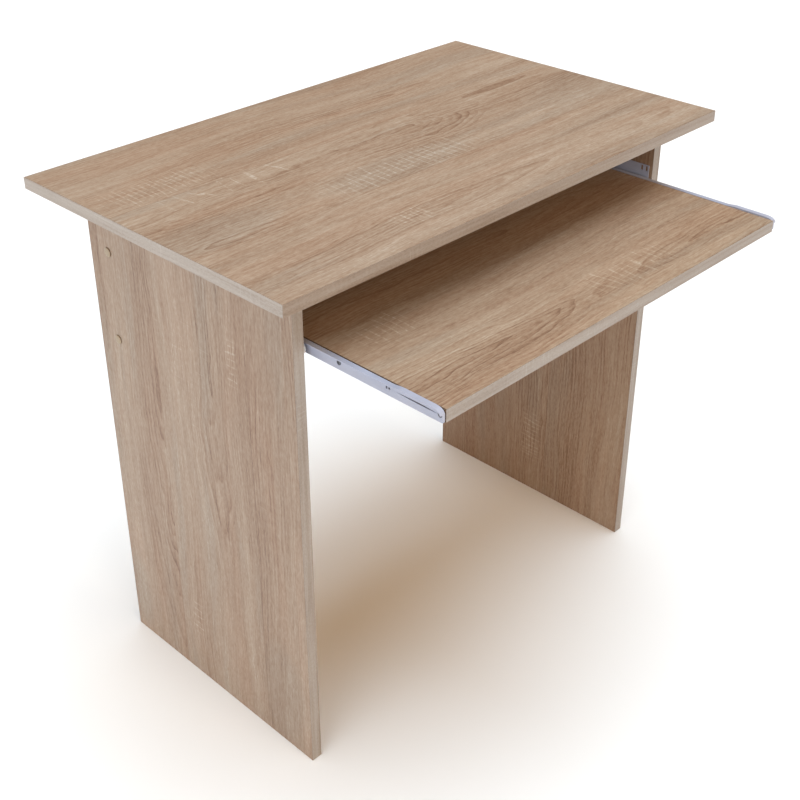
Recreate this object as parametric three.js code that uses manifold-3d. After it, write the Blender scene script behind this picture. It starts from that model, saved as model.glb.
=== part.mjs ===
// Computer desk with a keyboard tray on two roller slides.
// Millimetres, +Z up. The user sits on the -Y side, so the tray pulls out towards -Y.
// Every shape is drawn in the desk's own frame: x = 0 and y = 0 at the middle of the worktop, and z = 0 at
// the floor.
// The right half is drawn once. The left half is the same geometry in a mirrored group.
// The tray is drawn pushed in and then moved out by trayPull. The last lines move the whole desk so that
// its origin is under the middle of its footprint with the tray pulled out.
import * as THREE from "three";
import { mergeVertices } from "three/addons/utils/BufferGeometryUtils.js";
import Module from "manifold-3d";

// Driving dimensions of the furniture
const boardThickness = 16;
const topWidth = 825;
const topDepth = 500;
const deskHeight = 750;
const sideOverhang = 54;
const panelDepth = 400;
const backPanelHeight = 300;
const backPanelInset = 32;
const trayDepth = 350;
const trayTopHeight = 653;
const trayPull = 206;
const bandThickness = 0.6;
const glueLine = 0.1;
const fitGap = 0.3;
const slideClearance = 12.5;
const trayToRail = 1;
const bandFootClearance = 0.5;

// Driving dimensions of the roller slides
const sheet = 1.2;
const trayRailLength = 350;
const cabinetRailLength = 345;
const cabinetRailSetback = 5.5;
const trayRailSetback = 1;
const railFlangeWidth = 6;
const frontLipWidth = 2.4;
const flangeOpening = 48;
const underFlangeWidth = 10;
const rollerRadius = 9;
const rollerWidth = 5.3;
const rollerRun = 0.4;
const bendRadius = 2;
const noseHeight = 5;
const noseLength = 14;
const humpRise = 1.8;
const humpEnd = 58;
const rampEnd = 76;
const rampHandle = 7;
const noseHandle = 1.5;
const slitStart = 6.5;
const slitEnd = 73;
const slitBulge = 1.7;
const slitWidestBefore = 6;
const webToLip = 1.7;
const webToRoller = 2.5;
const flangeToChannelFloor = 1;
const rollerToRailEnd = 0.5;
const rearRollerToRailEnd = 0.5;
const earCorner = 6;
const earAboveRoller = 1;
const tabRise = 6;
const tabCorner = 4;
const flangeToTab = 1;
const underFlangeSetback = 4;
const pairedSlotOffset = 84.5;
const pairedHoleOffset = 80.5;
const pairedHoleRadius = 1.5;
const pairedSlot = { halfWidth: 1.2, halfHeight: 2.2 };
const trayScrewOffsets = [5.4, 159.2, 300];
const cabinetScrewOffsets = [55, 165, 293];
const cabinetSlotOffsets = [4, 12];
const cabinetSlot = { halfWidth: 1.8, halfHeight: 4.1, rise: 4.6 };
const mountingHoleRadius = 2;

// Driving dimensions of the fasteners
const screwHeadRadius = 3.2;
const screwHeadHeight = 1.1;
const screwHeadFlat = 2;
const screwShankRadius = 1.6;
const screwLength = 14;
const screwPoint = 2.5;
const recessDepth = 0.8;
const recessReach = 1.5;
const recessHalfWidth = 0.4;
const headPlay = 0.05;
const pinRadius = 2.5;
const pinHeadRadius = 3.3;
const pinHeadHeight = 0.8;
const pinPlay = 0.2;
const pinHeadEdge = 0.3;
const pinFootEdge = 0.6;
const pinFootRise = 0.1;
const pinHeadClearance = 0.5;
const pinShoulder = 1;
const rollerRim = 0.5;
const confirmatHeights = [525, 655];
const confirmatDepth = 3.6;
const confirmatLength = 48;
const confirmat = { head: 4.7, headLow: 0.8, neck: 4.2, shank: 3.4, shankLow: 17, thread: 2.6, point: 3 };
const confirmatSocket = { half: 1.7, depth: 2.5 };
const confirmatMouthRadius = 5;
const cap = { radius: 6.5, wall: 1.2, shoulder: 1.6, shoulderRadius: 5.7, crest: 1.9, crestRadius: 3.4 };
const capPlug = { radius: 4.8, length: 3.2 };
const camRadius = 7.4;
const camDepth = 12.3;
const camDrop = 33.5;
const camLip = 0.8;
const camSunk = 0.2;
const camRecess = { reach: 3, half: 0.9, depth: 2.5 };
const camMouth = { radius: 4, below: 1.5 };
const bolt = { head: 3.4, waist: 1.9, shank: 3.2, collar: 3.5, thread: 2.7, tip: 1.8, intoTop: 10.5 };
const boltSteps = { headTop: 3.5, waistLow: 4.5, waistHigh: 8.5, shankLow: 9.5, collar: 2, edge: 1 };
const boltHoleRadius = 3;
const camPlaces = { front: -130, back: 130 };
const dowelPlaces = { front: -90, back: 90 };
const dowelRadius = 4;
const dowelLength = 30;
const dowelIntoTop = 10;
const dowelChamfer = 1;

// How far a cutting shape runs past the face that it cuts
const overrun = 1;

// Places worked out from the driving dimensions
const topUnderside = deskHeight - boardThickness;
const panelOuterX = topWidth / 2 - sideOverhang;
const panelInnerX = panelOuterX - boardThickness;
const panelMiddleX = panelOuterX - boardThickness / 2;
const panelTop = topUnderside - fitGap;
const bandSpace = bandThickness + glueLine;
const backPanelRearY = panelDepth / 2 - backPanelInset;
const backPanelMiddleY = backPanelRearY - boardThickness / 2;
const backPanelFloor = topUnderside - backPanelHeight;
const trayFrontY = -panelDepth / 2;
const trayUnderside = trayTopHeight - boardThickness;

const webInnerX = panelInnerX - slideClearance + fitGap;
const trayHalfWidth = webInnerX - trayToRail;
const webOuterX = webInnerX + sheet;
const flangeTipX = webOuterX + railFlangeWidth;
const flangeUnderside = trayTopHeight - sheet;
const trayRailFrontY = trayFrontY + trayRailSetback;
const trayRailRearY = trayRailFrontY + trayRailLength;
const trayRailBottom = trayUnderside - fitGap - sheet;
const trayRailMiddleZ = trayTopHeight - boardThickness / 2;

const channelOuterX = panelInnerX - fitGap;
const channelInnerX = channelOuterX - sheet;
const channelTipX = webOuterX + webToLip;
const channelFloor = flangeUnderside - flangeToChannelFloor;
const channelCeiling = channelFloor + 2 * (rollerRadius + rollerRun);
const channelMiddleZ = (channelFloor + channelCeiling) / 2;
const cabinetRailFrontY = -panelDepth / 2 + cabinetRailSetback;
const cabinetRailRearY = cabinetRailFrontY + cabinetRailLength;

const rollerInnerX = webOuterX + webToRoller;
const rollerOuterX = rollerInnerX + rollerWidth;
const frontRollerY = cabinetRailFrontY + rollerRadius + rollerToRailEnd;
const frontRollerZ = flangeUnderside - fitGap - rollerRadius;
const rearRollerY = trayRailRearY - rollerRadius - rearRollerToRailEnd;
const rearRollerZ = channelMiddleZ;
const earWidth = 2 * (rollerRadius + rollerToRailEnd);

const wasm = await Module();
wasm.setup();

const melamine = () => new THREE.MeshStandardMaterial({ color: 0xb49c87, roughness: 0.55, metalness: 0 });
const edgeBand = () => new THREE.MeshStandardMaterial({ color: 0xb8aea2, roughness: 0.5, metalness: 0 });
const enamel = () => new THREE.MeshStandardMaterial({ color: 0xdfe3ec, roughness: 0.35, metalness: 0.1 });
const nylon = () => new THREE.MeshStandardMaterial({ color: 0xd8dade, roughness: 0.5, metalness: 0 });
const zincSteel = () => new THREE.MeshStandardMaterial({ color: 0xa9abb0, roughness: 0.35, metalness: 0.9 });
const capPlastic = () => new THREE.MeshStandardMaterial({ color: 0xbfae92, roughness: 0.45, metalness: 0 });
const beech = () => new THREE.MeshStandardMaterial({ color: 0xc9a878, roughness: 0.7, metalness: 0 });

// A closed geometry as a solid that can be joined and cut.
function solid(geometry) {
  const bare = new THREE.BufferGeometry();
  bare.setAttribute("position", geometry.getAttribute("position").clone());
  if (geometry.index) bare.setIndex(geometry.index.clone());
  const merged = mergeVertices(bare, 1e-4);
  return new wasm.Manifold(
    new wasm.Mesh({
      numProp: 3,
      vertProperties: new Float32Array(merged.getAttribute("position").array),
      triVerts: new Uint32Array(merged.index.array),
    }),
  );
}

// The solid's surface as a geometry that three.js can draw.
function surface(body) {
  const made = body.getMesh();
  const geometry = new THREE.BufferGeometry();
  geometry.setAttribute("position", new THREE.BufferAttribute(made.vertProperties, 3));
  geometry.setIndex(new THREE.BufferAttribute(made.triVerts, 1));
  geometry.computeVertexNormals();
  return geometry;
}

function cut(body, cutters) {
  return cutters.reduce((rest, cutter) => rest.subtract(cutter), body);
}

function join(bodies) {
  return bodies.reduce((whole, body) => whole.add(body));
}

// A box between two corners.
function block([x0, y0, z0], [x1, y1, z1]) {
  const geometry = new THREE.BoxGeometry(x1 - x0, y1 - y0, z1 - z0);
  return geometry.translate((x0 + x1) / 2, (y0 + y1) / 2, (z0 + z1) / 2);
}

const alongX = new THREE.Matrix4().makeRotationZ(-Math.PI / 2);
const alongZ = new THREE.Matrix4().makeRotationX(Math.PI / 2);

// A body of revolution about the X axis: profile points are [distance along +X, radius].
function turnedAlongX(profile, segments) {
  const points = profile.map(([along, radius]) => new THREE.Vector2(radius, along));
  return new THREE.LatheGeometry(points, segments).applyMatrix4(alongX);
}

// The same about the Z axis: profile points are [distance along +Z, radius].
function turnedAlongZ(profile, segments) {
  const points = profile.map(([along, radius]) => new THREE.Vector2(radius, along));
  return new THREE.LatheGeometry(points, segments).applyMatrix4(alongZ);
}

function rodAlongX(radius, x0, x1, y, z, segments = 12) {
  const profile = [[x0, 0], [x0, radius], [x1, radius], [x1, 0]];
  return solid(turnedAlongX(profile, segments).translate(0, y, z));
}

function rodAlongZ(radius, z0, z1, x, y, segments = 12) {
  const profile = [[z0, 0], [z0, radius], [z1, radius], [z1, 0]];
  return solid(turnedAlongZ(profile, segments).translate(x, y, 0));
}

// A flat shape drawn in (y, z) and made thick from x0 to x1.
function plateAcross(shape, x0, x1, curveSegments = 6) {
  const geometry = new THREE.ExtrudeGeometry(shape, { depth: x1 - x0, bevelEnabled: false, curveSegments });
  const turned = new THREE.Matrix4().makeBasis(
    new THREE.Vector3(0, 1, 0),
    new THREE.Vector3(0, 0, 1),
    new THREE.Vector3(1, 0, 0),
  );
  return solid(geometry.applyMatrix4(turned).translate(x0, 0, 0));
}

// A section drawn in (x, z) and drawn out from y0 to y1.
function sectionAlongY(shape, y0, y1, curveSegments = 4) {
  const geometry = new THREE.ExtrudeGeometry(shape, { depth: y1 - y0, bevelEnabled: false, curveSegments });
  const turned = new THREE.Matrix4().makeBasis(
    new THREE.Vector3(1, 0, 0),
    new THREE.Vector3(0, 0, 1),
    new THREE.Vector3(0, -1, 0),
  );
  return solid(geometry.applyMatrix4(turned).translate(0, y1, 0));
}

// The fasteners' outlines, made a little larger by "grow" when they cut the holes that they sit in.

// A confirmat screw along X: its countersunk head is at x = 0 and its tip points towards -X.
function confirmatBody(grow) {
  const headRadius = confirmat.head + grow;
  const shankRadius = confirmat.shank + grow;
  const threadRadius = confirmat.thread + grow;
  const tip = -confirmatLength - grow;
  const profile = [
    [tip, 0],
    [tip, threadRadius / 2],
    [tip + confirmat.point, threadRadius],
    [-confirmat.shankLow - 1, threadRadius],
    [-confirmat.shankLow, shankRadius],
    [-confirmat.neck, shankRadius],
    [-confirmat.headLow, headRadius],
    [grow, headRadius],
    [grow, 0],
  ];
  return turnedAlongX(profile, 12);
}

function confirmatPlaces() {
  return confirmatHeights.map((z) => [panelOuterX - confirmatDepth, backPanelMiddleY, z]);
}

function confirmatHoles() {
  return confirmatPlaces().flatMap(([x, y, z]) => [
    solid(confirmatBody(fitGap).translate(x, y, z)),
    rodAlongX(confirmatMouthRadius, x - confirmat.headLow / 2, panelOuterX + overrun, y, z),
  ]);
}

function confirmatScrew() {
  const { half, depth } = confirmatSocket;
  const socket = block([-depth, -half, -half], [overrun, half, half]);
  return surface(solid(confirmatBody(0)).subtract(solid(socket)));
}

// A round cover cap over the screw: a low button on the panel and a plug that fills the screw's mouth.
// x = 0 is the panel's face.
function coverCap() {
  const profile = [
    [-capPlug.length, 0],
    [-capPlug.length, capPlug.radius],
    [0, capPlug.radius],
    [0, cap.radius],
    [cap.wall, cap.radius],
    [cap.shoulder, cap.shoulderRadius],
    [cap.crest, cap.crestRadius],
    [cap.crest, 0],
  ];
  return turnedAlongX(profile, 32);
}

// A cross-recessed screw along X: the head's underside is at x = 0, the shank points towards -X.
function crossScrew() {
  const profile = [
    [-screwLength, 0],
    [-screwLength + screwPoint, screwShankRadius],
    [0, screwShankRadius],
    [0, screwHeadRadius],
    [screwHeadHeight / 2, screwHeadRadius],
    [screwHeadHeight, screwHeadFlat],
    [screwHeadHeight, 0],
  ];
  const floor = screwHeadHeight - recessDepth;
  const high = screwHeadHeight + overrun;
  const recess = [
    block([floor, -recessReach, -recessHalfWidth], [high, recessReach, recessHalfWidth]),
    block([floor, -recessHalfWidth, -recessReach], [high, recessHalfWidth, recessReach]),
  ];
  return surface(cut(solid(turnedAlongX(profile, 12)), recess.map(solid)));
}

// An eccentric cam in its round pocket, with the opening that takes the bolt's head from above.
function camHousing(x, y, z) {
  const profile = [
    [0, 0],
    [0, camRadius - camLip],
    [camLip, camRadius],
    [camDepth, camRadius],
    [camDepth, 0],
  ];
  const body = solid(turnedAlongX(profile, 16).translate(x, y, z));
  const { reach, half, depth } = camRecess;
  const recess = [
    solid(block([x - overrun, y - reach, z - half], [x + depth, y + reach, z + half])),
    solid(block([x - overrun, y - half, z - reach], [x + depth, y + half, z + reach])),
  ];
  const mouth = rodAlongZ(camMouth.radius, z - camMouth.below, z + camRadius + overrun, panelMiddleX, y);
  return surface(cut(body, [...recess, mouth]));
}

// The cam's bolt: threaded into the top, a waisted shank, and a round head inside the cam.
function camBolt(x, y, z) {
  const collarTop = topUnderside - fitGap;
  const tip = topUnderside + bolt.intoTop;
  const profile = [
    [z, 0],
    [z, bolt.head - boltSteps.edge],
    [z + boltSteps.edge, bolt.head],
    [z + boltSteps.headTop, bolt.head],
    [z + boltSteps.waistLow, bolt.waist],
    [z + boltSteps.waistHigh, bolt.waist],
    [z + boltSteps.shankLow, bolt.shank],
    [collarTop - boltSteps.collar, bolt.shank],
    [collarTop - boltSteps.collar, bolt.collar],
    [collarTop, bolt.collar],
    [collarTop, bolt.thread],
    [tip - boltSteps.edge, bolt.thread],
    [tip, bolt.tip],
    [tip, 0],
  ];
  return turnedAlongZ(profile, 10).translate(x, y, 0);
}

function dowel(x, y) {
  const low = topUnderside + dowelIntoTop - dowelLength;
  const high = topUnderside + dowelIntoTop;
  const profile = [
    [low, 0],
    [low, dowelRadius - dowelChamfer],
    [low + dowelChamfer, dowelRadius],
    [high - dowelChamfer, dowelRadius],
    [high, dowelRadius - dowelChamfer],
    [high, 0],
  ];
  return turnedAlongZ(profile, 12).translate(x, y, 0);
}

function topHoles(side) {
  const x = side * panelMiddleX;
  const low = topUnderside - overrun;
  const boltTop = topUnderside + bolt.intoTop + fitGap;
  const bolts = Object.values(camPlaces).map((y) => rodAlongZ(boltHoleRadius, low, boltTop, x, y));
  const dowelTop = topUnderside + dowelIntoTop + fitGap;
  const dowels = Object.values(dowelPlaces).map((y) =>
    rodAlongZ(dowelRadius + fitGap, low, dowelTop, x, y),
  );
  return [...bolts, ...dowels];
}

// Holes and pockets in the right side panel for everything that enters it.
function panelHoles() {
  const camZ = topUnderside - camDrop;
  const faceX = panelInnerX - overrun;
  const high = topUnderside + overrun;
  const cams = Object.values(camPlaces).flatMap((y) => [
    rodAlongX(camRadius + fitGap, faceX, panelInnerX + camDepth + 2 * fitGap, y, camZ, 16),
    rodAlongZ(camMouth.radius, camZ, high, panelMiddleX, y),
  ]);
  const dowelFoot = topUnderside + dowelIntoTop - dowelLength - fitGap;
  const dowels = Object.values(dowelPlaces).map((y) =>
    rodAlongZ(dowelRadius + fitGap, dowelFoot, high, panelMiddleX, y),
  );
  const tipX = channelInnerX + screwLength + fitGap;
  const screws = cabinetScrewOffsets.map((offset) =>
    rodAlongX(screwShankRadius + fitGap, faceX, tipX, cabinetRailFrontY + offset, channelMiddleZ),
  );
  return [...cams, ...dowels, ...screws, ...confirmatHoles()];
}

function topBoard() {
  const x = topWidth / 2 - bandSpace;
  const y = topDepth / 2 - bandSpace;
  const board = solid(block([-x, -y, topUnderside], [x, y, deskHeight]));
  return surface(cut(board, [...topHoles(1), ...topHoles(-1)]));
}

function sidePanel() {
  const y = panelDepth / 2 - bandSpace;
  const board = solid(block([panelInnerX, -y, 0], [panelOuterX, y, panelTop]));
  return surface(cut(board, panelHoles()));
}

function backPanel() {
  const x = panelInnerX - fitGap;
  const y0 = backPanelRearY - boardThickness;
  const board = solid(block([-x, y0, backPanelFloor + bandSpace], [x, backPanelRearY, panelTop]));
  const leftHoles = confirmatHoles().map((hole) => solid(mirroredInX(surface(hole))));
  return surface(cut(board, [...confirmatHoles(), ...leftHoles]));
}

// The same closed geometry on the other side of x = 0, with its faces turned to point out again.
function mirroredInX(geometry) {
  const flipped = geometry.clone().applyMatrix4(new THREE.Matrix4().makeScale(-1, 1, 1));
  const index = flipped.index.array;
  for (let i = 0; i < index.length; i += 3) [index[i + 1], index[i + 2]] = [index[i + 2], index[i + 1]];
  return flipped;
}

function trayBoard() {
  const y0 = trayFrontY + bandSpace;
  const y1 = trayFrontY + trayDepth - bandSpace;
  const board = solid(block([-trayHalfWidth, y0, trayUnderside], [trayHalfWidth, y1, trayTopHeight]));
  const rightHoles = trayScrewOffsets.map((offset) => {
    const tipX = webOuterX - screwLength - fitGap;
    const y = trayRailFrontY + offset;
    return rodAlongX(screwShankRadius + fitGap, tipX, trayHalfWidth + overrun, y, trayRailMiddleZ);
  });
  const leftHoles = rightHoles.map((hole) => solid(mirroredInX(surface(hole))));
  return surface(cut(board, [...rightHoles, ...leftHoles]));
}

// Edge bands on a board's outer edges, drawn as thin strips just off the board.
function topBands() {
  const x = topWidth / 2;
  const y = topDepth / 2;
  return {
    top_band_front: block([-x, -y, topUnderside], [x, -y + bandThickness, deskHeight]),
    top_band_back: block([-x, y - bandThickness, topUnderside], [x, y, deskHeight]),
    top_band_left: block([-x, -y + bandSpace, topUnderside], [-x + bandThickness, y - bandSpace, deskHeight]),
    top_band_right: block([x - bandThickness, -y + bandSpace, topUnderside], [x, y - bandSpace, deskHeight]),
  };
}

function sideBand(end) {
  const y0 = end < 0 ? -panelDepth / 2 : panelDepth / 2 - bandThickness;
  return block([panelInnerX, y0, bandFootClearance], [panelOuterX, y0 + bandThickness, panelTop]);
}

function trayBand(y0) {
  return block([-trayHalfWidth, y0, trayUnderside], [trayHalfWidth, y0 + bandThickness, trayTopHeight]);
}

function backPanelBand() {
  const x = panelInnerX - fitGap;
  const y0 = backPanelRearY - boardThickness;
  return block([-x, y0, backPanelFloor], [x, backPanelRearY, backPanelFloor + bandThickness]);
}

// The cabinet rail's section: a C of bent sheet, open towards the tray.
function channelSection() {
  const outer = bendRadius;
  const inner = bendRadius - sheet;
  const low = channelFloor - sheet;
  const high = channelCeiling + sheet;
  const shape = new THREE.Shape();
  shape.moveTo(channelTipX, low);
  shape.lineTo(channelOuterX - outer, low);
  shape.absarc(channelOuterX - outer, low + outer, outer, -Math.PI / 2, 0, false);
  shape.lineTo(channelOuterX, high - outer);
  shape.absarc(channelOuterX - outer, high - outer, outer, 0, Math.PI / 2, false);
  shape.lineTo(channelTipX, high);
  shape.lineTo(channelTipX, channelCeiling);
  shape.lineTo(channelInnerX - inner, channelCeiling);
  shape.absarc(channelInnerX - inner, channelCeiling - inner, inner, Math.PI / 2, 0, true);
  shape.lineTo(channelInnerX, channelFloor + inner);
  shape.absarc(channelInnerX - inner, channelFloor + inner, inner, 0, -Math.PI / 2, true);
  shape.lineTo(channelTipX, channelFloor);
  shape.closePath();
  return shape;
}

// The ear that hangs below the channel's front end and carries the front roller.
function rollerEar() {
  const y0 = cabinetRailFrontY;
  const y1 = cabinetRailFrontY + earWidth;
  const low = frontRollerZ - rollerRadius + earAboveRoller;
  const shape = new THREE.Shape();
  shape.moveTo(y0, channelMiddleZ);
  shape.lineTo(y0, low + earCorner);
  shape.absarc(y0 + earCorner, low + earCorner, earCorner, Math.PI, 1.5 * Math.PI, false);
  shape.lineTo(y1 - earCorner, low);
  shape.absarc(y1 - earCorner, low + earCorner, earCorner, -Math.PI / 2, 0, false);
  shape.lineTo(y1, channelMiddleZ);
  shape.closePath();
  return plateAcross(shape, channelInnerX, channelOuterX);
}

// An upright slot with round ends, cut along X.
function uprightSlot(y, z, { halfWidth, halfHeight }, [x0, x1]) {
  const straight = halfHeight - halfWidth;
  const shape = new THREE.Shape();
  shape.moveTo(y + halfWidth, z - straight);
  shape.lineTo(y + halfWidth, z + straight);
  shape.absarc(y, z + straight, halfWidth, 0, Math.PI, false);
  shape.lineTo(y - halfWidth, z - straight);
  shape.absarc(y, z - straight, halfWidth, Math.PI, 2 * Math.PI, false);
  return plateAcross(shape, x0, x1, 5);
}

// The channel's upper flange starts behind an opening, through which the tray's rear rollers are dropped in.
function cabinetRail() {
  const channel = sectionAlongY(channelSection(), cabinetRailFrontY, cabinetRailRearY);
  const rollerGap = block(
    [channelTipX - overrun, cabinetRailFrontY - overrun, channelFloor - sheet - overrun],
    [channelInnerX, cabinetRailFrontY + earWidth, channelFloor + overrun],
  );
  const opening = block(
    [channelTipX - overrun, cabinetRailFrontY - overrun, channelMiddleZ],
    [channelInnerX, cabinetRailFrontY + flangeOpening, channelCeiling + sheet + overrun],
  );
  const through = [channelInnerX - overrun, channelOuterX + overrun];
  const screwHoles = cabinetScrewOffsets.map((offset) =>
    rodAlongX(mountingHoleRadius, ...through, cabinetRailFrontY + offset, channelMiddleZ),
  );
  const slots = cabinetSlotOffsets.map((offset) =>
    uprightSlot(cabinetRailFrontY + offset, channelMiddleZ + cabinetSlot.rise, cabinetSlot, through),
  );
  const pinHole = rodAlongX(pinRadius + pinPlay, ...through, frontRollerY, frontRollerZ);
  const cleared = cut(channel, [rollerGap, opening].map(solid)).add(rollerEar());
  return surface(cut(cleared, [...screwHoles, ...slots, pinHole]));
}

// The tray rail's upper edge: a nose that drops at the front end, a low hump behind it that lets the
// front roller settle when the tray is pushed in, a ramp, and then a straight run level with the tray.
function railEdge(shape, endY) {
  const y0 = trayRailFrontY;
  const level = trayTopHeight;
  const hump = level + humpRise;
  shape.quadraticCurveTo(y0 + noseHandle, hump, y0 + noseLength, hump);
  shape.lineTo(y0 + humpEnd, hump);
  shape.bezierCurveTo(y0 + humpEnd + rampHandle, hump, y0 + rampEnd - rampHandle, level, y0 + rampEnd, level);
  shape.lineTo(endY, level);
}

function trayRailWeb() {
  const tabFrontY = rearRollerY - rollerRadius;
  const tabTop = rearRollerZ + tabRise;
  const corner = tabCorner;
  const shape = new THREE.Shape();
  shape.moveTo(trayRailFrontY, trayRailBottom + corner);
  shape.lineTo(trayRailFrontY, trayTopHeight - noseHeight);
  railEdge(shape, tabFrontY - corner);
  shape.quadraticCurveTo(tabFrontY, trayTopHeight, tabFrontY, trayTopHeight + corner);
  shape.lineTo(tabFrontY, tabTop - corner);
  shape.absarc(tabFrontY + corner, tabTop - corner, corner, Math.PI, Math.PI / 2, true);
  shape.lineTo(trayRailRearY - corner, tabTop);
  shape.absarc(trayRailRearY - corner, tabTop - corner, corner, Math.PI / 2, 0, true);
  shape.lineTo(trayRailRearY, trayRailBottom);
  shape.lineTo(trayRailFrontY + corner, trayRailBottom);
  shape.absarc(trayRailFrontY + corner, trayRailBottom + corner, corner, 1.5 * Math.PI, Math.PI, true);
  return plateAcross(shape, webInnerX, webOuterX);
}

// The flange that rides on the front roller, bent outwards along the rail's upper edge.
function trayRailFlange() {
  const endY = rearRollerY - rollerRadius - flangeToTab;
  const shape = new THREE.Shape();
  shape.moveTo(trayRailFrontY, trayTopHeight - noseHeight);
  railEdge(shape, endY);
  shape.lineTo(endY, flangeUnderside);
  const hump = flangeUnderside + humpRise;
  const y0 = trayRailFrontY;
  const rampFoot = y0 + rampEnd;
  const rampHead = y0 + humpEnd;
  shape.lineTo(rampFoot, flangeUnderside);
  shape.bezierCurveTo(rampFoot - rampHandle, flangeUnderside, rampHead + rampHandle, hump, rampHead, hump);
  shape.lineTo(y0 + noseLength, hump);
  shape.quadraticCurveTo(y0 + noseHandle + sheet, hump, y0 + sheet, trayTopHeight - noseHeight);
  shape.closePath();
  return plateAcross(shape, webInnerX, flangeTipX);
}

// The narrow slit in the web below the hump, widest in the middle.
function humpSlit() {
  const y0 = trayRailFrontY + slitStart;
  const y1 = trayRailFrontY + slitEnd;
  const middle = (y0 + y1) / 2 - slitWidestBefore;
  const shape = new THREE.Shape();
  shape.moveTo(y0, trayRailMiddleZ);
  shape.quadraticCurveTo(middle, trayRailMiddleZ - slitBulge, y1, trayRailMiddleZ);
  shape.quadraticCurveTo(middle, trayRailMiddleZ + slitBulge, y0, trayRailMiddleZ);
  return plateAcross(shape, webInnerX - overrun, webOuterX + overrun);
}

// The tray rail is bent from one sheet: a web, the flange above it, an under-flange below the tray, and a
// narrow lip that closes the front end.
function trayRail() {
  const through = [webInnerX - overrun, webOuterX + overrun];
  const underFlange = block(
    [webInnerX - underFlangeWidth, trayRailFrontY + underFlangeSetback, trayRailBottom],
    [webOuterX, trayRailRearY, trayRailBottom + sheet],
  );
  const frontLip = block(
    [webInnerX, trayRailFrontY, trayRailBottom + tabCorner],
    [webOuterX + frontLipWidth, trayRailFrontY + sheet, trayTopHeight - noseHeight],
  );
  const screwHoles = trayScrewOffsets.map((offset) =>
    rodAlongX(mountingHoleRadius, ...through, trayRailFrontY + offset, trayRailMiddleZ),
  );
  const roundHoleY = trayRailFrontY + pairedHoleOffset;
  const roundHole = rodAlongX(pairedHoleRadius, ...through, roundHoleY, trayRailMiddleZ);
  const slotHole = uprightSlot(trayRailFrontY + pairedSlotOffset, trayRailMiddleZ, pairedSlot, through);
  const pinHole = rodAlongX(pinRadius + pinPlay, ...through, rearRollerY, rearRollerZ);
  const bent = join([trayRailWeb(), trayRailFlange(), solid(underFlange), solid(frontLip)]);
  return surface(cut(bent, [...screwHoles, humpSlit(), roundHole, slotHole, pinHole]));
}

// A nylon roller about X with a bore for its pin and a recess for the pin's head on its +X face.
function roller() {
  const bore = pinRadius + pinPlay;
  const recess = pinHeadRadius + pinHeadClearance;
  const recessFloor = rollerWidth / 2 - pinHeadHeight - fitGap;
  const half = rollerWidth / 2;
  const profile = [
    [-half, bore],
    [-half, rollerRadius - rollerRim],
    [-half + rollerRim, rollerRadius],
    [half - rollerRim, rollerRadius],
    [half, rollerRadius - rollerRim],
    [half, recess],
    [recessFloor, recess],
    [recessFloor, bore],
    [-half, bore],
  ];
  return turnedAlongX(profile, 24);
}

// A roller's riveted pin about X: its head is in the roller's recess and its foot is in the rail.
function rollerPin(reach, footHead) {
  const half = rollerWidth / 2;
  const headX = half - pinHeadHeight;
  const footX = -half - reach;
  const shoulder = -half - fitGap;
  const rivet = [
    [footX - pinHeadHeight, 0],
    [footX - pinHeadHeight, pinHeadRadius - pinFootEdge],
    [footX - pinFootRise, pinHeadRadius],
    [footX - pinFootRise, pinRadius],
  ];
  const flush = [
    [footX, 0],
    [footX, pinRadius],
  ];
  const sheetFace = footX + sheet + fitGap;
  const profile = [
    ...(footHead ? rivet : flush),
    [sheetFace, pinRadius],
    [sheetFace, pinRadius + pinShoulder],
    [shoulder, pinRadius + pinShoulder],
    [shoulder, pinRadius],
    [headX, pinRadius],
    [headX, pinHeadRadius],
    [half, pinHeadRadius - pinHeadEdge],
    [half, 0],
  ];
  return turnedAlongX(profile, 14);
}

function add(group, name, geometry, material) {
  const mesh = new THREE.Mesh(geometry, material);
  mesh.name = name;
  group.add(mesh);
  return mesh;
}

// Everything on one side that is fixed to the desk.
function addFixedSide(group, side) {
  add(group, `side_panel_${side}`, sidePanel(), melamine());
  add(group, `side_band_${side}_front`, sideBand(-1), edgeBand());
  add(group, `side_band_${side}_back`, sideBand(1), edgeBand());
  add(group, `cabinet_rail_${side}`, cabinetRail(), enamel());

  const rollerMiddleX = (rollerInnerX + rollerOuterX) / 2;
  const wheel = add(group, `front_roller_${side}`, roller(), nylon());
  wheel.position.set(rollerMiddleX, frontRollerY, frontRollerZ);
  wheel.rotation.z = Math.PI;
  const frontPin = rollerPin(channelOuterX - rollerOuterX, false);
  const pin = add(group, `front_roller_pin_${side}`, frontPin, zincSteel());
  pin.position.copy(wheel.position);
  pin.rotation.z = Math.PI;

  cabinetScrewOffsets.forEach((offset, i) => {
    const screw = add(group, `cabinet_rail_screw_${side}_${i + 1}`, crossScrew(), zincSteel());
    screw.position.set(channelInnerX - headPlay, cabinetRailFrontY + offset, channelMiddleZ);
    screw.rotation.z = Math.PI;
  });
  confirmatPlaces().forEach(([x, y, z], i) => {
    const screw = add(group, `confirmat_screw_${side}_${i + 1}`, confirmatScrew(), zincSteel());
    screw.position.set(x, y, z);
    const cover = add(group, `cover_cap_${side}_${i + 1}`, coverCap(), capPlastic());
    cover.position.set(panelOuterX + glueLine, y, z);
  });

  const camZ = topUnderside - camDrop;
  for (const [end, y] of Object.entries(camPlaces)) {
    const camName = `cam_${side}_${end}`;
    add(group, camName, camHousing(panelInnerX + camSunk, y, camZ), zincSteel());
    add(group, `cam_bolt_${side}_${end}`, camBolt(panelMiddleX, y, camZ), zincSteel());
  }
  for (const [end, y] of Object.entries(dowelPlaces)) {
    add(group, `dowel_${side}_${end}`, dowel(panelMiddleX, y), beech());
  }
}

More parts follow.
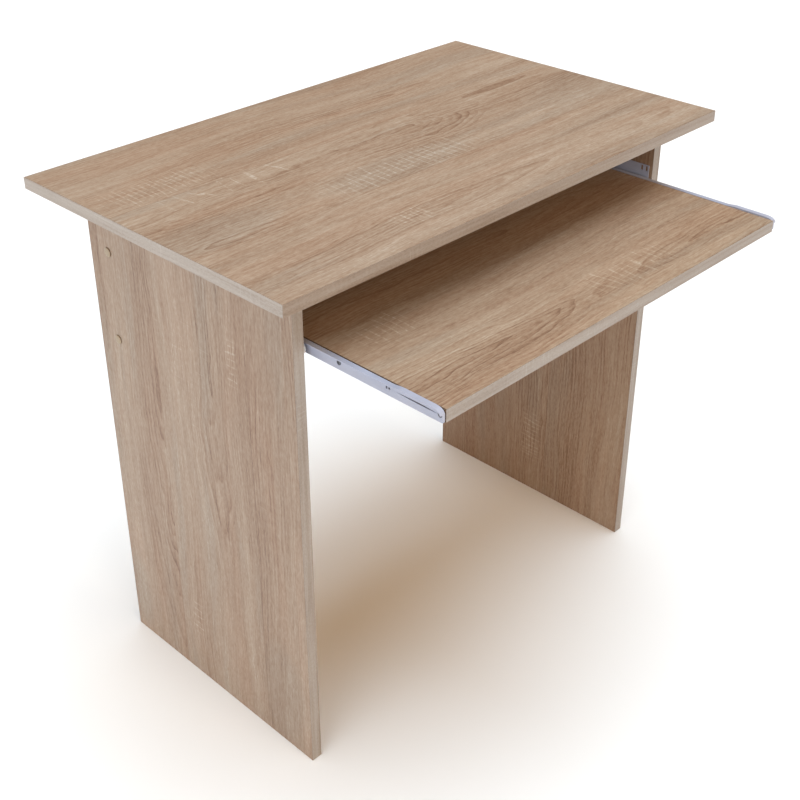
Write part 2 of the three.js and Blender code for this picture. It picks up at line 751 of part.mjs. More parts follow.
// Everything on one side that travels with the tray.
function addMovingSide(group, side) {
  add(group, `tray_rail_${side}`, trayRail(), enamel());
  trayScrewOffsets.forEach((offset, i) => {
    const screw = add(group, `tray_rail_screw_${side}_${i + 1}`, crossScrew(), zincSteel());
    screw.position.set(webOuterX + headPlay, trayRailFrontY + offset, trayRailMiddleZ);
  });
  const wheel = add(group, `rear_roller_${side}`, roller(), nylon());
  wheel.position.set((rollerInnerX + rollerOuterX) / 2, rearRollerY, rearRollerZ);
  const pin = add(group, `rear_roller_pin_${side}`, rollerPin(rollerInnerX - webInnerX, true), zincSteel());
  pin.position.copy(wheel.position);
}

function mirroredGroup() {
  const group = new THREE.Group();
  group.scale.x = -1;
  return group;
}

const desk = new THREE.Group();
add(desk, "top_board", topBoard(), melamine());
for (const [name, geometry] of Object.entries(topBands())) add(desk, name, geometry, edgeBand());
add(desk, "back_panel", backPanel(), melamine());
add(desk, "back_panel_band", backPanelBand(), edgeBand());
const leftSide = mirroredGroup();
addFixedSide(leftSide, "left");
addFixedSide(desk, "right");
desk.add(leftSide);

const tray = new THREE.Group();
tray.position.y = -trayPull;
add(tray, "tray_board", trayBoard(), melamine());
add(tray, "tray_band_front", trayBand(trayFrontY), edgeBand());
add(tray, "tray_band_back", trayBand(trayFrontY + trayDepth - bandThickness), edgeBand());
const trayLeft = mirroredGroup();
addMovingSide(trayLeft, "left");
addMovingSide(tray, "right");
tray.add(trayLeft);
desk.add(tray);

const footprintFront = trayFrontY - trayPull;
const footprintBack = topDepth / 2;
desk.position.y = -(footprintFront + footprintBack) / 2;

export default desk;
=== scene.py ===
# The looks of a computer desk with a keyboard tray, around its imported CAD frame.
# Metres, +Z up, in the frame's own axes: the user sits on the -Y side and the tray pulls out towards -Y.
import math
from collections import namedtuple

import bpy
from mathutils import Matrix, Vector


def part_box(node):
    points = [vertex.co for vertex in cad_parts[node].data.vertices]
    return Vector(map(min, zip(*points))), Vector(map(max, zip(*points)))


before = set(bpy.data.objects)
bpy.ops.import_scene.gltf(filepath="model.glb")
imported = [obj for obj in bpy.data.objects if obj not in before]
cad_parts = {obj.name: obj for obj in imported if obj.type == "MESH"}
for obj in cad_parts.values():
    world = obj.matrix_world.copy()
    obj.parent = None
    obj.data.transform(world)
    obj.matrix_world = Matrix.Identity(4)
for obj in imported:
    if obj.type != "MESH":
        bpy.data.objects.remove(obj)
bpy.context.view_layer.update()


def srgb(red, green, blue):
    """A colour given as a screen shows it, 0 to 255, as the linear one that the shaders use."""
    def linear(level):
        share = level / 255
        return share / 12.92 if share <= 0.04045 else ((share + 0.055) / 1.055) ** 2.4

    return (linear(red), linear(green), linear(blue), 1.0)


# Camera: what it looks at, how far it is from there, and its angles in degrees
CAMERA_AIM = Vector((-0.024, 0.065, 0.458))
CAMERA_DISTANCE = 1.85
CAMERA_AZIMUTH = 45.12
CAMERA_ELEVATION = 29.63
CAMERA_ROLL = -0.39
CAMERA_LENS = 57.39
CAMERA_SHIFT = (0.0183, -0.0767)
FARTHEST_SEEN = 200.0

# The floor's half width
FLOOR_REACH = 40.0

# How the modifiers round the CAD nodes' edges
BOARD_EDGE = 0.0003
BAND_EDGE = 0.00025
SHEET_EDGE = 0.0002
EDGE_SEGMENTS = 2
SHARP_ANGLE = math.radians(38)
FLAT_ANGLE = math.radians(0.2)
WELD_DISTANCE = 1e-6

# The room's even light, and the white that the camera sees behind the floor
ROOM_TINT = (0.368, 0.230, 0.122, 1.0)
WHITE = (1.0, 1.0, 1.0, 1.0)
# A soft lamp without falloff: its name, the direction from the desk to it, its strength as the brightness
# that it gives to a white card facing it, its width in degrees and its tint.
Lamp = namedtuple("Lamp", "name direction strength width tint")
LAMPS = (
    Lamp("overhead", (0.10, -0.05, 1.0), 0.855, 55.0, (0.80, 1.0, 1.16)),
    Lamp("left_side", (-0.94, -0.22, 0.26), 0.456, 50.0, (0.89, 1.0, 1.07)),
    Lamp("front_fill", (-0.05, -0.90, 0.42), 0.316, 40.0, (1.21, 1.0, 0.75)),
)

# Where growth rings turn round in the figure. Its place is in shares of the board's box, and its length and
# width are metres. way is 1 or -1 for nested arcs that close towards that end of the board, and 0 for a lens.
Eye = namedtuple("Eye", "along across length width way")
# A patch of saw marks across the grain: its middle in shares of the board's box, its half size and its pitch.
Saw = namedtuple("Saw", "along across length width pitch")
# A greyer patch: its middle in shares of the board's box, and its half size.
Grey = namedtuple("Grey", "along across length width")
# A laminated board: its node, the axes along and across the grain, where one printed plank meets the next, in
# shares of the board's box, how much lighter each plank's tone is than the mean, a number that tells its
# pattern from the other boards', a tint that paints in the light and shade on its faces, its eyes, its saw
# marks and its greyer patches.
Board = namedtuple("Board", "node grain across joints tones seed tint eyes saws greys")

BOARDS = (
    Board(
        "top_board", "x", "y", (0.296, 0.626), (0.02, -0.02, 0.0), 3.0, (1.005, 0.99, 0.975, 1.0),
        (
            Eye(0.575, 0.552, 0.060, 0.024, 1),
            Eye(0.820, 0.606, 0.062, 0.006, 0),
            Eye(0.520, 0.780, 0.110, 0.007, 1),
            Eye(0.330, 0.105, 0.120, 0.010, 1),
            Eye(0.060, 0.330, 0.050, 0.014, -1),
        ),
        (
            Saw(0.12, 0.70, 0.095, 0.030, 0.0085),
            Saw(0.21, 0.585, 0.135, 0.026, 0.0300),
            Saw(0.45, 0.36, 0.165, 0.034, 0.0110),
            Saw(0.31, 0.12, 0.035, 0.022, 0.0080),
        ),
        (
            Grey(0.07, 0.385, 0.110, 0.040),
            Grey(0.44, 0.370, 0.140, 0.040),
            Grey(0.97, 0.420, 0.160, 0.060),
        ),
    ),
    Board(
        "tray_board", "x", "y", (0.402,), (0.0, -0.02), 11.0, (1.0, 0.94, 0.865, 1.0),
        (
            Eye(0.16, 0.140, 0.120, 0.016, 1),
            Eye(0.90, 0.120, 0.110, 0.010, -1),
            Eye(0.45, 0.700, 0.150, 0.012, 1),
        ),
        (
            Saw(0.115, 0.475, 0.050, 0.030, 0.0110),
            Saw(0.62, 0.150, 0.100, 0.032, 0.0130),
        ),
        (),
    ),
    Board(
        "side_panel_left", "z", "y", (0.04, 0.222, 0.688), (0.0, -0.06, 0.03, 0.0), 23.0,
        (0.98, 0.985, 1.0, 1.0),
        (
            Eye(0.655, 0.716, 0.045, 0.005, 0),
            Eye(0.375, 0.692, 0.120, 0.027, -1),
            Eye(0.780, 0.400, 0.160, 0.012, -1),
        ),
        (
            Saw(0.80, 0.290, 0.040, 0.012, 0.0095),
            Saw(0.15, 0.600, 0.040, 0.014, 0.0110),
        ),
        (Grey(0.12, 0.130, 0.090, 0.050), Grey(0.10, 0.960, 0.080, 0.030)),
    ),
    Board(
        # Its deep warm tint paints the shade on its inner face under the desk
        "side_panel_right", "z", "y", (0.400, 0.860), (0.0, 0.04, -0.04), 31.0, (0.92, 0.84, 0.755, 1.0),
        (Eye(0.40, 0.470, 0.110, 0.016, 1), Eye(0.75, 0.700, 0.160, 0.012, -1)),
        (Saw(0.15, 0.480, 0.060, 0.020, 0.0080),),
        (),
    ),
    Board(
        "back_panel", "x", "z", (0.35,), (0.0, 0.04), 47.0, (1.0, 0.96, 0.92, 1.0),
        (Eye(0.70, 0.60, 0.110, 0.014, 1), Eye(0.20, 0.15, 0.140, 0.012, -1)),
        (Saw(0.25, 0.70, 0.080, 0.026, 0.0110),),
        (),
    ),
)

# The tray's ends have no edging. A dark line painted on its top beside the left rail stands in for the shadow
# in the gap between its bare end and the rail. Its two reaches are where the line has ended and where it is
# full.
TRAY = "tray_board"
GAP_SHADE_REACH = (0.00154, 0.00066)
GAP_SHADE_STRENGTH = 0.85

# An edge band: its node, the axis that it runs along, the axis across it, how pale it is from its low end to
# its high end, from 0 for the boards' brown to 1 for a cream grey, its brightness, which paints in how much
# light its side gets and is lowest on the bands that face the front, and its number.
Band = namedtuple("Band", "node grain across pale bright seed")

BANDS = (
    Band("top_band_front", "x", "z", (0.05, 0.75), 0.81, 2.0),
    Band("top_band_back", "x", "z", (0.6, 0.6), 0.95, 4.0),
    Band("top_band_left", "y", "z", (1.0, 1.0), 0.96, 6.0),
    Band("top_band_right", "y", "z", (0.9, 0.9), 1.0, 8.0),
    Band("side_band_left_front", "z", "x", (0.85, 0.75), 0.81, 10.0),
    Band("side_band_left_back", "z", "x", (0.5, 0.5), 0.95, 12.0),
    Band("side_band_right_front", "z", "x", (0.85, 1.0), 0.735, 14.0),
    Band("side_band_right_back", "z", "x", (0.6, 0.6), 0.95, 16.0),
    Band("tray_band_front", "x", "z", (0.9, 1.0), 0.77, 18.0),
    Band("tray_band_back", "x", "z", (0.8, 0.8), 0.9, 20.0),
    Band("back_panel_band", "x", "y", (0.7, 0.7), 0.9, 22.0),
)

# A layer of a printed pattern: how many features a metre holds along and across the grain, how far the layer
# lies from the others in the noise, and the noise's detail and roughness.
Layer = namedtuple("Layer", "along across offset detail roughness", defaults=(0.5,))

# How far one plank's pattern lies from the next one's in the noise
PLANK_STEP = 7.7

# How the boards' grain strays from a straight line, in layers and metres
GRAIN_WANDER = Layer(2.4, 4, 0.0, 1)
WANDER_SIZE = 0.040
GRAIN_WAVER = Layer(9, 22, 1.9, 1)
WAVER_SIZE = 0.006

# The boards' layers of light and dark
BROAD = Layer(1.3, 26, 0.0, 2)
STREAK = Layer(4.5, 120, 1.3, 3, 0.6)
FINE = Layer(22, 430, 2.7, 3, 0.65)
FLECK = Layer(130, 520, 7.7, 2, 0.6)
CLOUD = Layer(4, 8, 6.4, 2)
PORES = Layer(46, 900, 4.1, 1)
PORE_LEVELS = (0.60, 0.74)
WARMTH = Layer(2.2, 26, 12.5, 2)
ROSY_LEVELS = (0.52, 0.66)
GREY_LEVELS = (0.47, 0.33)
GREY_FADE = (1.3, 0.3)
GREY_RAGGEDNESS = 1.5

# The tone of the print, from 0 at the wood's darkest to 1 at its palest, and what each layer adds to it
MEAN_TONE = 0.535
BROAD_TONE = 0.50
STREAK_TONE = 0.50
FINE_TONE = 0.84
FLECK_TONE = 0.74
CLOUD_TONE = 0.22
RING_TONE = -0.54
PORE_TONE = -0.20
SAW_TONE = 0.32
JOINT_TONE = -0.20
JOINT_REACH = (0.0009, 0.0002)

# Growth rings: their pitch, a count that keeps straight rings apart from an eye's, how far noise moves them,
# in an eye's lengths and widths, in metres and in rings, and how dark one ring is beside the next
RING_PITCH = 0.0062
STRAIGHT_RINGS = 400.0
RING_BEND = Layer(7, 26, 3.1, 2)
BEND_LENGTHS = 1.3
BEND_WIDTHS = 1.5
RING_RIPPLE = Layer(26, 60, 8.3, 1)
RIPPLE_SIZE = 0.006
RING_DRIFT = Layer(3, 34, 0.0, 2)
DRIFT_RINGS = 2.6
RING_POWER = 2.2
RING_DROP = (1.0, 0.90)
RING_LEVELS = (0.36, 0.60)
FAINTEST_RING = 0.35
RING_NOISE_STEP = 0.73
RING_NOISE_ROW = 0.2

# Where the figure shows: round an eye, in its widths and lengths, in a lens's heart, and in patches
EYE_FADE = (4.2, 0.9)
EYE_END_FADE = (3.2, 1.2)
HEART_FADE = (1.25, 0.6)
HEART_STRENGTH = 0.75
FIGURE_PATCHES = Layer(2.2, 15, 5.5, 1)
PATCH_LEVELS = (0.42, 0.66)
PATCH_STRENGTH = 0.75

# Saw marks: a patch's soft ends and ragged sides in its half sizes, a cut's half width in metres, how the
# cuts lean and break up, and the stray ones
SAW_END_FADE = (1.05, 0.5)
SAW_SIDE_FADE = (1.85, 1.35)
SAW_RAGGEDNESS = 1.6
CUTS_ALONG = 260
CUT_NOISE_ROW = 3.3
CUT_FADE = (0.0019, 0.0005)
CUT_LEAN = Layer(24, 9, 0.0, 1)
LEAN_PITCHES = 2.2
CUT_BREAKS = Layer(240, 190, 4.4, 2)
BREAK_LEVELS = (0.32, 0.57)
STRAY_CUTS = Layer(420, 15, 9.1, 1)
STRAY_LEVELS = (0.66, 0.76)
STRAY_PLACES = Layer(5.5, 13, 2.2, 1)
STRAY_PLACE_LEVELS = (0.56, 0.70)
STRAY_STRENGTH = 0.6

# The edge bands' layers, and what each adds to the tone
BAND_WANDER = Layer(6, 30, 0, 1)
BAND_WANDER_SIZE = 0.008
BAND_STREAK = Layer(2.5, 170, 0, 2)
BAND_FINE = Layer(22, 1100, 1, 2, 0.6)
BAND_CLOUD = Layer(9, 60, 2, 2)
BAND_TICKS = Layer(420, 30, 3, 1)
BAND_SPECK = Layer(260, 420, 5, 3, 0.65)
TICK_LEVELS = (0.58, 0.70)
TICK_PLACES_ALONG = 8
TICK_PLACE_ROW = 0.3
TICK_PLACE_OFFSET = 4
TICK_PLACE_LEVELS = (0.50, 0.62)
BAND_MEAN = 0.5
BAND_STREAK_TONE = 0.7
BAND_FINE_TONE = 0.6
BAND_CLOUD_TONE = 0.5
BAND_SPECK_TONE = 0.9
TICK_TONE = 0.25
BAND_STREAK_PALENESS = 1.3
BAND_CLOUD_PALENESS = 0.5

# The chips of bare chipboard: how many to a metre, and how much noise bends their borders
CHIPS_LENGTHWISE = 420
CHIPS_UPWARDS = 700
CHIP_BENDS = 300
CHIP_BEND_SIZE = 0.8
CHIP_SPOTS = 900
CHIP_SPOT_LEVELS = (0.60, 0.70)
CHIP_SPOT_STRENGTH = 0.6
CHIP_HEIGHT = 4

# How squarely a surface has to face its axis to be a board's printed face, and a cap's face rather than its
# wall, which gets painted shade
PRINT_FACING = (0.55, 0.75)
CAP_FACING = (0.25, 0.75)

# How rough each surface is, before its pattern varies that. A board's bare end is rougher than its face.
WOOD_ROUGHNESS = 0.47
BARE_ROUGHNESS = 0.35
BAND_ROUGHNESS = 0.42
ENAMEL_ROUGHNESS = 0.32
NYLON_ROUGHNESS = 0.38
METAL_ROUGHNESS = 0.28
CAP_ROUGHNESS = 0.30
BEECH_ROUGHNESS = 0.62
FLOOR_ROUGHNESS = 0.9

# Depths of the surfaces' fine relief
WOOD_RELIEF = 0.00012
BAND_RELIEF = 0.00008
BEECH_RELIEF = 0.00006
ENAMEL_RELIEF = 0.00004
METAL_RELIEF = 0.00003
NYLON_RELIEF = 0.00003
CAP_RELIEF = 0.00002

# Colours, most of them in rows of (place, colour) along a pattern's tone
WOOD = (
    (0.00, srgb(121, 94, 76)),
    (0.28, srgb(145, 119, 99)),
    (0.50, srgb(159, 137, 118)),
    (0.72, srgb(170, 151, 133)),
    (1.00, srgb(187, 174, 160)),
)
ROSY = (1.015, 0.982, 0.965, 1.0)
GREYED = (0.955, 0.995, 1.03, 1.0)
# Painted shade: the colour of the shadow in the gap beside the tray's left end
GAP_SHADE_COLOUR = srgb(58, 44, 35)
# The bare chipboard's colours, darkened well below real chipboard's as painted shade for the narrow gaps
# where the bare ends show
SHADED_CHIPS = (
    (0.0, srgb(66, 49, 36)),
    (0.3, srgb(94, 72, 52)),
    (0.6, srgb(118, 93, 69)),
    (1.0, srgb(150, 124, 96)),
)
DARK_CHIPS = srgb(52, 38, 28)
BAND_BROWN = (
    (0.1, srgb(134, 112, 96)),
    (0.5, srgb(157, 139, 124)),
    (0.9, srgb(174, 160, 146)),
)
BAND_CREAM = (
    (0.1, srgb(153, 141, 130)),
    (0.5, srgb(171, 160, 151)),
    (0.9, srgb(184, 176, 168)),
)
ENAMEL = ((0.3, srgb(160, 164, 182)), (0.7, srgb(172, 175, 192)))
ENAMEL_RUBBED = srgb(142, 146, 162)
NYLON = ((0.3, srgb(205, 206, 204)), (0.7, srgb(228, 229, 227)))
NYLON_WORN = srgb(170, 172, 174)
# Painted shade: the rail screws' zinc is made dark so that their heads read as the shade in their recesses
SHADED_SCREW_ZINC = ((0.3, srgb(84, 84, 90)), (0.7, srgb(118, 118, 124)))
BRIGHT_ZINC = ((0.3, srgb(150, 153, 160)), (0.7, srgb(196, 198, 204)))
CAST_ZINC = ((0.3, srgb(120, 122, 126)), (0.7, srgb(165, 167, 170)))
CAP_FACE = ((0.3, srgb(153, 134, 110)), (0.7, srgb(166, 148, 123)))
CAP_WALL_SHADED = ((0.3, srgb(116, 94, 70)), (0.7, srgb(130, 108, 83)))
BEECH = ((0.3, srgb(190, 150, 108)), (0.7, srgb(221, 186, 143)))
BEECH_FLECKS = srgb(150, 104, 66)
FLOOR = ((0.3, (0.93, 0.93, 0.93, 1.0)), (0.7, (0.95, 0.95, 0.95, 1.0)))


class Field:
    """A number that varies over a surface. Sums and products of fields become math nodes in their tree."""

    def __init__(self, tree, socket):
        self.tree = tree
        self.socket = socket

    def __add__(self, other):
        return self.tree.math("ADD", self, other)

    def __radd__(self, other):
        return self.tree.math("ADD", other, self)

    def __sub__(self, other):
        return self.tree.math("SUBTRACT", self, other)

    def __rsub__(self, other):
        return self.tree.math("SUBTRACT", other, self)

    def __mul__(self, other):
        return self.tree.math("MULTIPLY", self, other)

    def __truediv__(self, other):
        return self.tree.math("DIVIDE", self, other)

    def __pow__(self, other):
        return self.tree.math("POWER", self, other)

    def __abs__(self):
        return self.tree.math("ABSOLUTE", self)

    def above(self, level):
        return self.tree.math("GREATER_THAN", self, level)

    def fraction(self):
        return self.tree.math("FRACT", self)

    def whole(self):
        return self.tree.math("FLOOR", self)

    def root(self):
        return self.tree.math("SQRT", self)

    def clamped(self):
        return self.tree.math("MULTIPLY", self, 1.0, clamp=True)

    def step(self, start, end):
        """0 up to start, 1 from end on and smooth in between. start may be above end."""
        node = self.tree.node("ShaderNodeMapRange", interpolation_type="SMOOTHSTEP")
        self.tree.feed(node.inputs["Value"], self)
        falling = start > end
        node.inputs["From Min"].default_value = min(start, end)
        node.inputs["From Max"].default_value = max(start, end)
        node.inputs["To Min"].default_value = 1.0 if falling else 0.0
        node.inputs["To Max"].default_value = 0.0 if falling else 1.0
        return Field(self.tree, node.outputs["Result"])


class Tree:
    """One material and short calls that build its nodes."""

    def __init__(self, name):
        self.material = bpy.data.materials.new(name)
        self.material.use_nodes = True
        self.tree = self.material.node_tree
        self.tree.nodes.clear()
        self.coordinates = self.node("ShaderNodeTexCoord")
        self.x, self.y, self.z = self.parts(self.coordinates.outputs["Object"])

    def node(self, kind, **settings):
        node = self.tree.nodes.new(kind)
        for name, value in settings.items():
            setattr(node, name, value)
        return node

    def feed(self, socket, value):
        if isinstance(value, Field):
            value = value.socket
        if isinstance(value, bpy.types.NodeSocket):
            self.tree.links.new(value, socket)
        else:
            socket.default_value = value

    def parts(self, vector):
        node = self.node("ShaderNodeSeparateXYZ")
        self.feed(node.inputs[0], vector)
        return [Field(self, output) for output in node.outputs]

    def axis(self, letter):
        return {"x": self.x, "y": self.y, "z": self.z}[letter]

    def facing(self, letter):
        """How much the surface faces along an axis, from 0 to 1."""
        parts = self.parts(self.coordinates.outputs["Normal"])
        return abs(parts["xyz".index(letter)])

    def math(self, operation, *values, clamp=False):
        node = self.node("ShaderNodeMath", operation=operation, use_clamp=clamp)
        for socket, value in zip(node.inputs, values):
            self.feed(socket, value)
        return Field(self, node.outputs[0])

    def smallest(self, first, second):
        return self.math("MINIMUM", first, second)

    def largest(self, first, second):
        return self.math("MAXIMUM", first, second)

    def point(self, x, y, z):
        node = self.node("ShaderNodeCombineXYZ")
        for socket, value in zip(node.inputs, (x, y, z)):
            self.feed(socket, value)
        return node.outputs[0]

    def noise(self, x, y, z, detail=2.0, roughness=0.5):
        """Smooth noise from 0 to 1 about 0.5, with features about one unit apart."""
        node = self.node("ShaderNodeTexNoise")
        self.feed(node.inputs["Vector"], self.point(x, y, z))
        node.inputs["Scale"].default_value = 1.0
        node.inputs["Detail"].default_value = detail
        node.inputs["Roughness"].default_value = roughness
        return Field(self, node.outputs["Fac"])

    def solid(self, scales, detail=2.0, roughness=0.5):
        """Noise through the node's own space, with this many features a metre along x, y and z."""
        x, y, z = scales
        return self.noise(self.x * x, self.y * y, self.z * z, detail, roughness)

    def layer(self, u, v, seed, layer):
        """One layer of a printed pattern, from 0 to 1 about 0.5."""
        row = seed + layer.offset
        return self.noise(u * layer.along, v * layer.across, row, layer.detail, layer.roughness)

    def cells(self, x, y, z):
        """Cells about one unit across: how far the nearest middle is, and a number of the cell's own."""
        node = self.node("ShaderNodeTexVoronoi", feature="F1")
        self.feed(node.inputs["Vector"], self.point(x, y, z))
        node.inputs["Scale"].default_value = 1.0
        return Field(self, node.outputs["Distance"]), self.parts(node.outputs["Color"])[0]

    def ramp(self, factor, stops):
        """A colour read off a row of (place, colour) stops."""
        node = self.node("ShaderNodeValToRGB")
        elements = node.color_ramp.elements
        while len(elements) < len(stops):
            elements.new(0.5)
        for element, (place, colour) in zip(elements, stops):
            element.position = place
            element.color = colour
        self.feed(node.inputs[0], factor)
        return node.outputs["Color"]

    def mix(self, factor, first, second, blend="MIX"):
        node = self.node("ShaderNodeMix", data_type="RGBA", blend_type=blend)
        colours = [socket for socket in node.inputs if socket.type == "RGBA"]
        self.feed(node.inputs[0], factor)
        self.feed(colours[0], first)
        self.feed(colours[1], second)
        return next(output for output in node.outputs if output.type == "RGBA")

    def tinted(self, colour, tint):
        return self.mix(1.0, colour, tint, "MULTIPLY")

    def finish(self, colour, roughness, height=None, relief=0.0, settings=()):
        """Joins the colour, roughness and relief to a shader. The other settings are the same all over."""
        shader = self.node("ShaderNodeBsdfPrincipled")
        self.feed(shader.inputs["Base Color"], colour)
        self.feed(shader.inputs["Roughness"], roughness)
        for name, value in settings:
            shader.inputs[name].default_value = value
        if height is not None:
            bump = self.node("ShaderNodeBump")
            bump.inputs["Distance"].default_value = relief
            self.feed(bump.inputs["Height"], height)
            self.feed(shader.inputs["Normal"], bump.outputs[0])
        output = self.node("ShaderNodeOutputMaterial")
        self.feed(output.inputs["Surface"], shader.outputs[0])
        return self.material


def even(scale):
    """Scales for noise that is the same in every direction."""
    return (scale, scale, scale)


def plank_number(across, edges):
    """0 on the first printed plank, 1 on the next, and so on."""
    number = across * 0.0
    for edge in edges:
        number = number + across.above(edge)
    return number


def plank_tone(across, edges, tones):
    """How much lighter than the mean the printed plank is."""
    tone = across * 0.0 + tones[0]
    for edge, before, after in zip(edges, tones, tones[1:]):
        tone = tone + across.above(edge) * (after - before)
    return tone


def joint_line(tree, across, edges):
    """1 on the hairline between two printed planks, 0 elsewhere."""
    line = across * 0.0
    for edge in edges:
        line = tree.largest(line, abs(across - edge).step(*JOINT_REACH))
    return line


def growth_rings(tree, u, v, plank, number, eyes):
    """Darkness of the growth rings, from 0 to 1, and how strongly the figure shows there."""
    bend = tree.layer(u, v, plank, RING_BEND) - 0.5
    ripple = tree.layer(u, v, plank, RING_RIPPLE) - 0.5
    ring = v / RING_PITCH + STRAIGHT_RINGS
    near = v * 0.0
    heart = v * 0.0
    for eye, home in eyes:
        ahead = (u - eye.along) + bend * eye.length * BEND_LENGTHS
        ahead = tree.largest(ahead * eye.way, 0.0) if eye.way else abs(ahead)
        aside = v - eye.across + bend * eye.width * BEND_WIDTHS + ripple * RIPPLE_SIZE
        along = ahead * (eye.width / eye.length)
        reach = (aside * aside + along * along).root()
        away = abs(number - home) * STRAIGHT_RINGS
        ring = tree.smallest(ring, reach / RING_PITCH + away)
        widths = reach / eye.width + away
        lengths = abs(u - eye.along) / eye.length
        near = tree.largest(near, widths.step(*EYE_FADE) * lengths.step(*EYE_END_FADE))
        if not eye.way:
            heart = tree.largest(heart, widths.step(*HEART_FADE))
    ring = ring + (tree.layer(u, v, plank, RING_DRIFT) - 0.5) * DRIFT_RINGS
    line = ring.fraction()
    own = tree.noise(ring.whole() * RING_NOISE_STEP, plank, RING_NOISE_ROW, detail=0).step(*RING_LEVELS)
    strength = own * (1 - FAINTEST_RING) + FAINTEST_RING
    dark = line ** RING_POWER * line.step(*RING_DROP) * strength
    patchy = tree.layer(u, v, plank, FIGURE_PATCHES).step(*PATCH_LEVELS)
    return tree.largest(dark, heart * HEART_STRENGTH), tree.largest(near, patchy * PATCH_STRENGTH)


def saw_marks(tree, u, v, plank, saws):
    """Pale cuts across the grain: a few patches of roughly even ones, and stray ones here and there."""
    ragged = tree.noise(u * CUTS_ALONG, plank, CUT_NOISE_ROW, detail=1) * SAW_RAGGEDNESS
    broken = tree.layer(u, v, plank, CUT_BREAKS).step(*BREAK_LEVELS)
    marks = v * 0.0
    for saw in saws:
        inside = (abs(u - saw.along) / saw.length).step(*SAW_END_FADE)
        beside = (abs(v - saw.across) / saw.width + ragged).step(*SAW_SIDE_FADE)
        lean = tree.layer(u, v, plank, CUT_LEAN) * LEAN_PITCHES
        fade = [half / saw.pitch for half in CUT_FADE]
        line = abs((u / saw.pitch + lean).fraction() - 0.5).step(*fade)
        marks = tree.largest(marks, line * inside * beside)
    stray = tree.layer(u, v, plank, STRAY_CUTS).step(*STRAY_LEVELS)
    where = tree.layer(u, v, plank, STRAY_PLACES).step(*STRAY_PLACE_LEVELS)
    return tree.largest(marks, stray * where * STRAY_STRENGTH) * broken


def chipboard(tree):
    """Pressed wood chips, for the bare edges of the boards, in colours darkened as painted shade: a height
    and a colour.
    """
    bend = tree.solid(even(CHIP_BENDS), detail=1) * CHIP_BEND_SIZE
    x = tree.x * CHIPS_LENGTHWISE + bend
    y = tree.y * CHIPS_LENGTHWISE + bend
    distance, own = tree.cells(x, y, tree.z * CHIPS_UPWARDS)
    colour = tree.ramp(own * 0.7 + distance * 0.25, SHADED_CHIPS)
    spots = tree.solid(even(CHIP_SPOTS), detail=1).step(*CHIP_SPOT_LEVELS)
    return own - distance, tree.mix(spots * CHIP_SPOT_STRENGTH, colour, DARK_CHIPS)


def oak(board):
    """Laminate printed with pale sawn oak planks, tinted to paint the light and shade on the board, and raw
    chipboard, in colours darkened as painted shade, where a board's end is bare.
    """
    low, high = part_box(board.node)
    grain_axis = "xyz".index(board.grain)
    across_axis = "xyz".index(board.across)
    face_letter = "xyz"[3 - grain_axis - across_axis]

    def along(share):
        return low[grain_axis] + share * (high[grain_axis] - low[grain_axis])

    def beside(share):
        return low[across_axis] + share * (high[across_axis] - low[across_axis])

    def placed(mark):
        return mark._replace(along=along(mark.along), across=beside(mark.across))

    tree = Tree(f"oak_{board.node}")
    u = tree.axis(board.grain)
    v = tree.axis(board.across)
    edges = [beside(joint) for joint in board.joints]
    number = plank_number(v, edges)
    plank = number * PLANK_STEP + board.seed
    homes = [sum(eye.across > joint for joint in board.joints) for eye in board.eyes]
    eyes = [(placed(eye), home) for eye, home in zip(board.eyes, homes)]

    wander = (tree.layer(u, v, plank, GRAIN_WANDER) - 0.5) * WANDER_SIZE
    waver = (tree.layer(u, v, plank, GRAIN_WAVER) - 0.5) * WAVER_SIZE
    w = v + wander + waver
    rings, figure = growth_rings(tree, u, w, plank, number, eyes)
    marks = saw_marks(tree, u, v, plank, [placed(saw) for saw in board.saws])
    broad = tree.layer(u, w, plank, BROAD) - 0.5
    streak = tree.layer(u, w, plank, STREAK) - 0.5
    fine = tree.layer(u, w, plank, FINE) - 0.5
    fleck = tree.layer(u, v, plank, FLECK) - 0.5
    pores = tree.layer(u, w, plank, PORES).step(*PORE_LEVELS)
    cloud = tree.layer(u, v, plank, CLOUD) - 0.5
    joints = joint_line(tree, v, edges)

    tone = MEAN_TONE + broad * BROAD_TONE + streak * STREAK_TONE + fine * FINE_TONE
    tone = tone + fleck * FLECK_TONE + cloud * CLOUD_TONE + rings * figure * RING_TONE
    tone = tone + pores * PORE_TONE + marks * SAW_TONE + joints * JOINT_TONE
    tone = tone + plank_tone(v, edges, board.tones)
    printed = tree.ramp(tone.clamped(), WOOD)
    warmth = tree.layer(u, w, plank, WARMTH)
    rosy = tree.tinted(printed, ROSY)
    greyed = tree.tinted(printed, GREYED)
    printed = tree.mix(warmth.step(*ROSY_LEVELS), printed, rosy)
    grey = warmth.step(*GREY_LEVELS)
    for patch in board.greys:
        spot = placed(patch)
        reach = ((u - spot.along) / spot.length) ** 2 + ((w - spot.across) / spot.width) ** 2
        grey = tree.largest(grey, (reach + cloud * GREY_RAGGEDNESS + streak).step(*GREY_FADE))
    # Painted light and shade: the board's tint stands in for how bright and how warm the light on it is
    printed = tree.tinted(tree.mix(grey, printed, greyed), board.tint)
    if board.node == TRAY:
        # Painted shade: a dark line along the tray's left end stands in for the shadow in the gap beside the
        # rail
        gap_shade = (u - low[grain_axis]).step(*GAP_SHADE_REACH)
        printed = tree.mix(gap_shade * GAP_SHADE_STRENGTH, printed, GAP_SHADE_COLOUR)

    flakes, bare = chipboard(tree)
    face = tree.facing(face_letter).step(*PRINT_FACING)
    colour = tree.mix(face, bare, printed)
    bare_end = 1 - face
    roughness = WOOD_ROUGHNESS + fine * 0.16 + cloud * 0.10 + bare_end * BARE_ROUGHNESS
    print_height = fine * 0.5 - pores * 0.8 - rings * figure * 0.25 + marks * 0.3
    height = print_height * face + flakes * bare_end * CHIP_HEIGHT
    return tree.finish(colour, roughness.clamped(), height, WOOD_RELIEF, [("Specular IOR Level", 0.4)])


